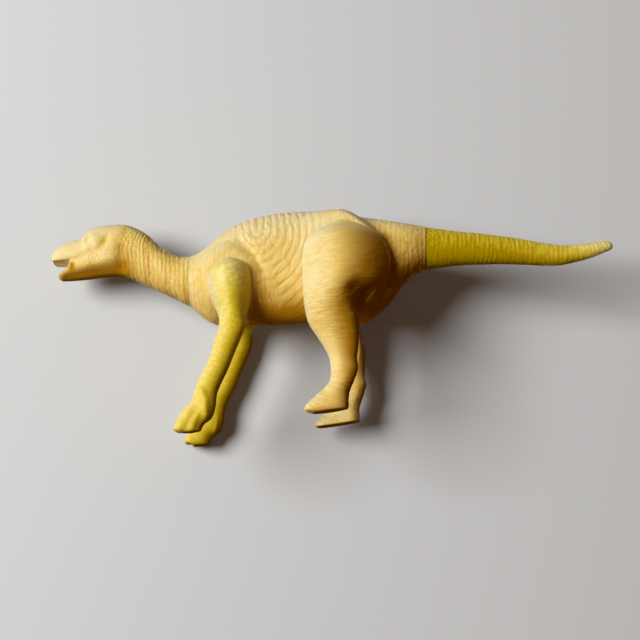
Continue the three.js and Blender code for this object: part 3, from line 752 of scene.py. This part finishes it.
# %% Forelegs
FORELEG_RIBS = [
    [-3.8, 4.6, 3.2, 4.8, 2.5],
    [-5.3, 2.0, 4.6, 2.7, 2.9],
    [-5.8, -0.7, 5.0, -0.5, 3.0],
    [-5.7, -3.7, 4.5, -4.2, 3.0],
    [-5.0, -6.9, 3.7, -7.7, 2.9],
    [-4.2, -10.3, 2.7, -11.1, 2.8],
    [-4.5, -13.1, 1.9, -14.1, 2.7],
    [-5.8, -15.9, 0.2, -17.2, 2.6],
    [-7.3, -19.2, -1.7, -20.5, 2.5],
    [-9.2, -22.5, -3.6, -23.9, 2.5],
    [-11.3, -25.5, -5.5, -26.7, 2.5],
    [-12.6, -28.2, -6.9, -29.3, 2.5],
    [-13.3, -29.9, -7.6, -32.0, 2.6],
    [-14.6, -30.9, -8.8, -34.6, 2.7],
    [-15.8, -31.9, -11.0, -36.1, 2.8],
    [-16.9, -33.1, -12.7, -38.4, 2.8],
    [-17.8, -34.5, -15.6, -38.1, 2.7],
    [-18.7, -35.8, -18.1, -36.8, 1.9],
]


def foreleg_relief(x, y, z, along):
    """Level wrinkles on the upper arm that fade to fine stipple on the forearm, the grooves of the
    fingers and the ridge of the tendon. The painted shading is painted light on the upper arm and
    at its rear down to the elbow, and painted shade low on the far arm."""
    level = folds(along, (x, y), 0.9, 3.5, 101, wander=0.9)
    grain = pebbles(np.stack([x, y, z], axis=-1), 0.75, 111)
    arm = 1 - eased(14, 20, along)
    height = (0.45 + 0.2 * arm) * level + (0.55 - 0.2 * arm) * grain
    far = y > 0
    forward = x + 1.6 * far
    fingers = 0.50 * crease(forward, z, [(-12.0, -31.8), (-14.2, -34.8), (-16.2, -38.2)], 1.1)
    fingers += 0.22 * crease(forward, z, [(-10.9, -33.5), (-12.2, -36.0), (-13.6, -38.4)], 0.6)
    tendon = 0.40 * crease(x, z, [(-10.4, -28.0), (-9.7, -30.6), (-10.2, -34.0)], 0.8)
    cut = (0.08 + 0.10 * arm) * (1 - height) + fingers - tendon
    painted_shading_tint = 0.35 * eased(-8, 1, z) + 0.25 * eased(-1, 3, x) * eased(-14, -8, z)
    painted_shading_tint -= 0.15 * far * (1 - eased(-14, -6, z))
    return height, cut, painted_shading_tint


FORELEG = {
    "ribs": FORELEG_RIBS,
    "joint": SHOULDER,
    "count": 220,
    "columns": 120,
    "squareness": 2.1,
    "start": 4.0,
    "end": 0.5,
    "free": (12, 18),
    "relief_of": foreleg_relief,
    "lean": 0.0,
    "fillet": 1.2,
}
left_foreleg = leg("left_foreleg_skin", side=-1, swing=0.0, **FORELEG)
right_foreleg = leg("right_foreleg_skin", side=1, swing=0.5, **FORELEG)

# %% [markdown]
# ### Hind legs
# The thigh is a big dome that leans forward. Its folds run level and are closest together down the
# shank. Behind the knee is a hollow. The far leg is slimmer in front below the knee than the near
# one and its toes reach further, so the front points of its ribs are moved before it is built.

# %% Hind legs
HIND_LEG_RIBS = [
    [-3.2, 10.5, 3.6, 10.1, -1.2],
    [-7.5, 8.4, 7.3, 7.4, 1.9],
    [-10.2, 4.2, 9.7, 3.4, 4.5],
    [-11.1, -1.2, 10.6, -1.9, 6.0],
    [-11.6, -5.4, 8.6, -6.2, 6.4],
    [-11.9, -9.0, 4.4, -9.8, 6.1],
    [-11.9, -12.1, 1.3, -12.7, 5.3],
    [-11.5, -15.1, 0.7, -15.9, 4.4],
    [-10.3, -17.9, 0.4, -19.2, 3.7],
    [-8.9, -20.9, -0.4, -22.6, 3.1],
    [-7.9, -23.9, -1.1, -25.3, 2.6],
    [-7.9, -26.7, -1.2, -27.7, 2.6],
    [-8.6, -29.6, -2.4, -30.2, 2.7],
    [-10.1, -31.1, -4.2, -33.4, 2.8],
    [-11.9, -32.3, -5.4, -37.8, 3.0],
    [-13.8, -33.5, -9.2, -38.0, 3.1],
    [-15.0, -34.5, -12.9, -37.3, 2.7],
    [-15.8, -35.4, -15.2, -36.4, 2.0],
]


def hind_leg_relief(x, y, z, along):
    """Level folds, wide on the thigh, close below the knee and shallow on the shin, and the hollow
    behind the knee. The painted shading is shade behind, and below the knee painted light on the
    far leg. Where the folds are shallow, the height is drawn up to 1 too, so that the painted shade
    in their cracks fades with them."""
    place = np.stack([x, y, z], axis=-1)
    wide = folds(along, (x, y), 1.2, 8.0, 121, wander=0.6)
    close = folds(along, (x, y), 0.85, 6.0, 131, wander=0.5)
    short = folds(x + 0.4 * z, (z, y), 0.9, 3.0, 141, wander=0.7)
    grain = pebbles(place, 0.8, 151)
    thigh = 1 - eased(14, 20, along)
    calm = 0.2 * eased(2, 8, z) + 0.25 * (1 - eased(-9.5, -6, x)) * eased(-10, -4, z)
    patch = 0.85 + 0.35 * cloud(place / 4.5, 156)
    shin = eased(31, 33, along) * (1 - eased(37, 40, along))
    height = thigh * (0.45 * wide + 0.2 * close + 0.15 * short + 0.2 * grain)
    height += (1 - thigh) * (0.75 * close + 0.25 * grain)
    depth = (0.15 + 0.01 * thigh) * (1 - 0.7 * shin) * (1 - calm) * patch
    knee_pit = 2.3 * blob(x, z, (2.6, -9.8), (4.2, 3.2))
    cut = knee_pit + depth * (1 - height)
    above = eased(-14, -8, z)
    painted_shading_tint = -0.24 * eased(-6, 5, x) * above - 0.25 * eased(-7, -3, x) * (1 - above)
    painted_shading_tint += 0.25 * (y > 0) * (1 - eased(-14, -6, z))
    return 1 - (1 - height) * np.minimum(depth / 0.12, 1), cut, painted_shading_tint


FAR_LEG_RIBS = np.array(HIND_LEG_RIBS)
level = FAR_LEG_RIBS[:, 1]
FAR_LEG_RIBS[:, 0] += 1.6 * np.exp(-(((level + 16) / 7) ** 2)) - 1.1 * eased(-30, -35, level)
HIND_LEG = {
    "joint": HIP,
    "count": 240,
    "columns": 200,
    "squareness": 2.1,
    "start": 4.5,
    "end": 0.5,
    "free": (12, 22),
    "relief_of": hind_leg_relief,
    "lean": 0.25,
    "fillet": 4.5,
}
left_hind_leg = leg("left_hind_leg_skin", HIND_LEG_RIBS, side=-1, swing=0.0, **HIND_LEG)
right_hind_leg = leg("right_hind_leg_skin", FAR_LEG_RIBS, side=1, swing=-4.0, **HIND_LEG)

# %% [markdown]
# ## Head and neck
# The head is a loft from the beak to the neck seam. Its features are hills and grooves added to
# the skin: the eye, the hollow of the temple, the jaw muscle, the lip line. They could be sculpted,
# but as sums of soft hills they can be moved and measured one by one. The painted shading repeats
# them, with painted shade in the hollows. The open mouth is cut out afterwards with a Boolean,
# because a gap right through can't be made by moving points in and out.

# %% Head
HEAD_RIBS = [
    [-70.4, 51.7, -70.2, 45.5, 3.2],
    [-68.5, 53.2, -68.3, 45.0, 4.0],
    [-66.3, 54.4, -66.1, 44.7, 4.4],
    [-63.7, 54.9, -63.3, 44.5, 4.7],
    [-61.9, 55.1, -61.2, 44.4, 4.9],
    [-60.7, 56.3, -60.0, 44.4, 5.1],
    [-59.3, 57.1, -58.4, 44.4, 5.2],
    [-56.8, 57.5, -55.8, 44.3, 5.5],
    [-54.1, 57.4, -53.1, 43.9, 5.7],
    [-51.1, 57.2, -51.1, 42.9, 5.7],
    [-48.7, 56.3, -49.2, 41.7, 5.6],
    [-46.3, 54.7, -47.0, 40.3, 5.6],
    [-44.2, 52.6, -44.9, 38.9, 5.6],
    [-42.2, 49.9, -42.7, 37.5, 5.8],
    [-40.1, 48.0, -40.6, 36.0, 6.0],
    [-37.8, 46.6, -38.6, 34.5, 6.2],
    seam_rib(*NECK, HAIRLINE),
]
EYE = (-58.3, 53.8)
MOUTH = [
    (-73, 49.9), (-67.6, 49.5), (-65.0, 49.2), (-65.45, 48.05),
    (-66.15, 47.2), (-67.2, 46.6), (-68.4, 46.1), (-69.3, 44),
]
LIP_CREASE = [(-64.6, 48.9), (-63.2, 49.1), (-60.9, 50.0), (-58.3, 50.4), (-57.0, 50.7)]

points, along, length = loft(HEAD_RIBS, 200, full_turn(200), 2.2, start=0.9, round_start=True)
out = normals(points)
x, y, z = points[..., 0], points[..., 1], points[..., 2]
side_on = eased(0.15, 0.6, np.abs(out[..., 1]))
eye_distance = np.hypot(x - EYE[0], z - EYE[1])
# eyeball, fold before the eye, hollow of the temple, jaw muscle
form = 0.40 * np.exp(-((eye_distance / 1.05) ** 2))
form -= 0.40 * blob(x, z, (-60.2, 54.0), (0.5, 1.1), -20)
form -= 0.70 * blob(x, z, (-55.7, 52.4), (1.0, 2.3), -35)
form += 0.35 * blob(x, z, (-56.2, 49.2), (2.6, 2.4))
# lip line behind the mouth, crease above the neck, edge of the jaw at the neck
form -= 0.30 * crease(x, z, LIP_CREASE, 0.7)
form -= 0.20 * crease(x, z, [(-49.7, 53.7), (-51.3, 49.3)], 1.0)
form -= 0.35 * crease(x, z, [(-51.7, 50.5), (-52.2, 48.0), (-51.8, 45.0)], 1.4)
# ridge of the lower jaw, groove under it, dimple at the corner of the mouth
form += 0.30 * crease(x, z, [(-67.0, 46.5), (-61.0, 46.9), (-56.4, 47.3), (-54.0, 47.5)], 1.0)
form -= 0.20 * crease(x, z, [(-66.5, 44.9), (-61.0, 45.1), (-56.4, 45.2), (-53.0, 45.0)], 1.1)
form -= 0.35 * blob(x, z, (-64.5, 47.6), (0.9, 1.2), -20)
form = form * side_on
# rim of the mouth, rounded inwards
form -= 0.35 * np.exp(-((line_distance(x, z, MOUTH) / 0.4) ** 2))

# The neck's folds lean with the seam and curve forward over the nape.
neck = eased(-55, -50, x)
nape = 0.034 * np.maximum(z - 47.5, 0) ** 2 * (1 - eased(-48, -43, x))
lean = x - FOLD_LEAN * (z - 45) - nape
neck_folds = 0.6 * ribbed(lean, points, 1.1, 160, sway=0.45)
neck_folds += 0.4 * folds(lean, (z, y), 1.1, 5.0, 161, wander=0.4)
neck_fine = folds(lean, (z, y), 0.6, 2.5, 171, wander=0.6)
grain = pebbles(points, 0.7, 181)
height = neck * (0.5 * neck_folds + 0.2 * neck_fine + 0.3 * grain)
height += (1 - neck) * (0.3 + 0.7 * grain)
edge = eased(0.0, 1.0, along) * eased(0.05, 0.5, length - along)
cheek = blob(x, z, (-57.5, 48.8), (4.0, 2.2), 10)
depth = 0.08 + 0.30 * neck + 0.18 * cheek
smooth_eye = np.exp(-((eye_distance / 1.8) ** 4))
raised = form - depth * (1 - height) * (1 - smooth_eye)
points = points + out * (-INSET + raised * edge)[..., None]

# Painted shading: painted shade under the jaw, painted light at its tip and over the face, a
# painted highlight on the eye, and painted shade in the hollows and the creases. On the neck it
# adds random cloud bands, and on the neck and cheek painted shade in the cracks.
under_jaw = eased(-0.7, 1.6, 46.1 + 0.05 * (x + 66.5) - z) * (1 - eased(-55, -49, x))
painted_shading_and_mottle = painted_shading_of(out) - 0.22 * under_jaw
painted_shading_and_mottle += 0.30 * blob(x, z, (-69.5, 46.0), (1.6, 1.6))
painted_shading_and_mottle += 0.4 * np.exp(-((eye_distance / 1.0) ** 2))
painted_shading_and_mottle += 0.25 * eased(-50, -56, x) * eased(46.5, 49, z)
corner_dimple = blob(x, z, (-64.6, 47.7), (0.8, 1.3))
painted_shading_and_mottle -= 0.55 * blob(x, z, (-55.9, 52.4), (1.1, 2.2), -35) + 0.60 * corner_dimple
painted_shading_and_mottle -= 0.50 * blob(x, z, (-60.2, 54.0), (0.6, 1.2), -20)
painted_shading_and_mottle -= 0.25 * crease(x, z, [(-63.2, 49.1), (-60.9, 50.0), (-58.3, 50.4)], 0.5)
painted_shading_and_mottle -= 0.25 * crease(x, z, [(-51.9, 50.0), (-52.4, 47.5), (-52.0, 44.0)], 1.5)
bands = np.stack([lean / 1.7, z / 9, y / 9], axis=-1)
painted_shading_and_mottle += neck * (0.22 * cloud(bands, 190) - 0.08) + (0.4 * neck + 0.3 * cheek) * (height - 0.6)
head = closed_piece("head_skin", points, height, painted_shading_and_mottle)

# %% [markdown]
# ### Mouth
# The cutter is a wedge, nearly square in section: wide open at the beak and closed at the corner
# of the mouth. Its roof is raised in the middle along a parabola, which vaults the palate: a flat
# one would catch the light at a low angle and shine. A Boolean takes the wedge out of the head, and
# the modifier is applied at once.

# %% Mouth
MOUTH_RIBS = [
    [-65.0, 49.25, -65.0, 49.15],
    [-65.5, 49.35, -65.45, 48.05],
    [-66.2, 49.4, -66.15, 47.2],
    [-67.2, 49.5, -67.2, 46.6],
    [-68.3, 49.6, -68.4, 46.1],
    [-69.0, 49.7, -68.9, 45.2],
    [-69.8, 49.75, -69.5, 43.9],
    [-73.0, 49.9, -73.0, 43.9],
]
CUTTER_HALF_WIDTH = 6.4
PALATE_RISE = 1.2
PALATE_START = -66.2

mouth_ribs = [[*rib, CUTTER_HALF_WIDTH] for rib in MOUTH_RIBS]
mouth_points, _, _ = loft(mouth_ribs, 60, full_turn(120), 6.0, start=0.02, end=0.02)
x, y, z = mouth_points[..., 0], mouth_points[..., 1], mouth_points[..., 2]
palate = (z > 48.8) & (x < PALATE_START)
half_width = 2.5 + 0.27 * (x + 70.5)
vault = np.clip(1 - (y / half_width) ** 2, 0, 1)
mouth_points[..., 2] += palate * eased(PALATE_START, -67.8, x) * PALATE_RISE * vault
even = np.ones(mouth_points.shape[:2])
# The cut faces carry a painted shading of 0.45, which paints the palate a glowing amber with less
# gloss.
cutter = closed_piece("mouth_cutter", mouth_points, even, 0.45 * even)
opening = head.modifiers.new("opening", "BOOLEAN")
opening.operation = "DIFFERENCE"
opening.solver = "EXACT"
opening.object = cutter
bpy.context.view_layer.objects.active = head
with bpy.context.temp_override(object=head, active_object=head):
    bpy.ops.object.modifier_apply(modifier=opening.name)
bpy.data.objects.remove(cutter)
print("head after the cut:", len(head.data.polygons), "faces")

# %% [markdown]
# ## Soft plastic
# The toy is moulded in a soft, slightly clear plastic, cream for the body and lemon for the
# forelegs and the tail. Light enters it and comes out near by, more of the red than of the blue,
# so shaded places glow orange brown. Subsurface scattering does that, but only within a short
# way. The rest of the light and shade is painted into the colour: the painted shading number picks
# it from a ramp of a shaded, a middle and a lit copy of each plastic, from dark orange to light
# cream. The cracks get a brown painted shade, which the relief number steers. Where the painted
# shading is darker, the gloss is lower too.

# %% Plastic


def plastic(name, shaded_copy, middle, lit_copy, scatter, bare=None):
    """A Principled surface. The painted shading number picks a colour between the shaded, middle
    and lit copies, and a gloss up to 0.30 of the specular level, whose even value of 0.25 holds
    where links are lost. Cracks get a brown painted shade, its amount mixed with a little random
    mottle.
    Where paint is 0, the bare colours take over. Fine pores are bump."""
    material = bpy.data.materials.new(name)
    material.use_nodes = True
    nodes, links = material.node_tree.nodes, material.node_tree.links
    skin = nodes["Principled BSDF"]
    skin.inputs["Roughness"].default_value = 0.5
    skin.inputs["Specular IOR Level"].default_value = 0.25
    skin.inputs["Subsurface Weight"].default_value = 0.6
    skin.inputs["Subsurface Radius"].default_value = scatter
    skin.inputs["Subsurface Scale"].default_value = 0.0014

    def number(title):
        attribute = nodes.new("ShaderNodeAttribute")
        attribute.attribute_name = title
        return attribute.outputs["Fac"]

    def mixed(kind, factor, a, b):
        mix = nodes.new("ShaderNodeMix")
        mix.data_type = "RGBA"
        mix.blend_type = kind
        for socket, source in (("Factor", factor), ("A", a), ("B", b)):
            if isinstance(source, bpy.types.NodeSocket):
                links.new(source, mix.inputs[socket])
            else:
                mix.inputs[socket].default_value = source
        return mix.outputs["Result"]

    def ramp(colours):
        steps = nodes.new("ShaderNodeValToRGB")
        steps.color_ramp.elements.new(0.5)
        for element, colour in zip(steps.color_ramp.elements, colours):
            element.color = (*colour, 1)
        links.new(number("painted_shading_and_mottle"), steps.inputs["Fac"])
        return steps.outputs["Color"]

    colour = ramp((shaded_copy, middle, lit_copy))
    if bare:
        colour = mixed("MIX", number("paint"), ramp(bare), colour)
    place = nodes.new("ShaderNodeTexCoord")
    mottle = nodes.new("ShaderNodeTexNoise")
    mottle.inputs["Scale"].default_value = 260
    mottle.inputs["Detail"].default_value = 3
    links.new(place.outputs["Object"], mottle.inputs["Vector"])
    spread = nodes.new("ShaderNodeMapRange")
    spread.inputs["From Min"].default_value = 0.05
    spread.inputs["From Max"].default_value = 0.75
    links.new(number("relief"), spread.inputs["Value"])
    gloss = nodes.new("ShaderNodeMapRange")
    gloss.inputs["From Max"].default_value = 0.5
    gloss.inputs["To Max"].default_value = 0.30
    links.new(number("painted_shading_and_mottle"), gloss.inputs["Value"])
    links.new(gloss.outputs["Result"], skin.inputs["Specular IOR Level"])
    blend = nodes.new("ShaderNodeMix")
    blend.inputs["Factor"].default_value = 0.18
    links.new(spread.outputs["Result"], blend.inputs["A"])
    links.new(mottle.outputs["Fac"], blend.inputs["B"])
    # Painted shade in the cracks: where the relief is low, the colour is multiplied by a brown.
    painted_shading_tint = mixed("MIX", blend.outputs["Result"], (0.88, 0.77, 0.44, 1), (1, 1, 1, 1))
    links.new(mixed("MULTIPLY", 1.0, colour, painted_shading_tint), skin.inputs["Base Color"])
    pores = nodes.new("ShaderNodeTexNoise")
    pores.inputs["Scale"].default_value = 2600
    pores.inputs["Detail"].default_value = 4
    links.new(place.outputs["Object"], pores.inputs["Vector"])
    bump = nodes.new("ShaderNodeBump")
    bump.inputs["Strength"].default_value = 0.25
    bump.inputs["Distance"].default_value = 0.0001
    links.new(pores.outputs["Fac"], bump.inputs["Height"])
    links.new(bump.outputs["Normal"], skin.inputs["Normal"])
    return material


# Each plastic as a shaded copy, a middle colour and a lit copy: painted shade and painted light,
# the dark orange also standing in for light glowing through the plastic.
CREAM_SHADED_TO_LIT = ((0.55, 0.27, 0.01), (0.84, 0.62, 0.17), (0.90, 0.77, 0.42))
LEMON_SHADED_TO_LIT = ((0.52, 0.36, 0.0), (0.80, 0.63, 0.03), (0.90, 0.79, 0.28))
cream = plastic("cream_plastic", *CREAM_SHADED_TO_LIT, (1.0, 0.50, 0.20))
lemon = plastic("lemon_plastic", *LEMON_SHADED_TO_LIT, (1.0, 0.70, 0.10), bare=CREAM_SHADED_TO_LIT)

# %% [markdown]
# ## Each skin takes its node's place
# A skin rides on its CAD body and replaces the node that it stands for. Each row also gives the
# record's material slot that it is moulded in.

# %% Fitting
FITTED = [
    (trunk_left, "trunk", "torso_left", "cream", cream),
    (trunk_right, "trunk", "torso_right", "cream", cream),
    (head, "head", "head_and_neck", "cream", cream),
    (tail, "tail", "tail", "lemon", lemon),
    (left_foreleg, "left_foreleg", "left_foreleg", "lemon", lemon),
    (right_foreleg, "right_foreleg", "right_foreleg", "lemon", lemon),
    (left_hind_leg, "left_hind_leg", "left_hind_leg", "cream", cream),
    (right_hind_leg, "right_hind_leg", "right_hind_leg", "cream", cream),
]
for piece, body, node, slot, material in FITTED:
    piece.data.materials.append(material)
    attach(piece, body)
    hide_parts(node)
print("fitted:", ", ".join(row[0].name for row in FITTED))
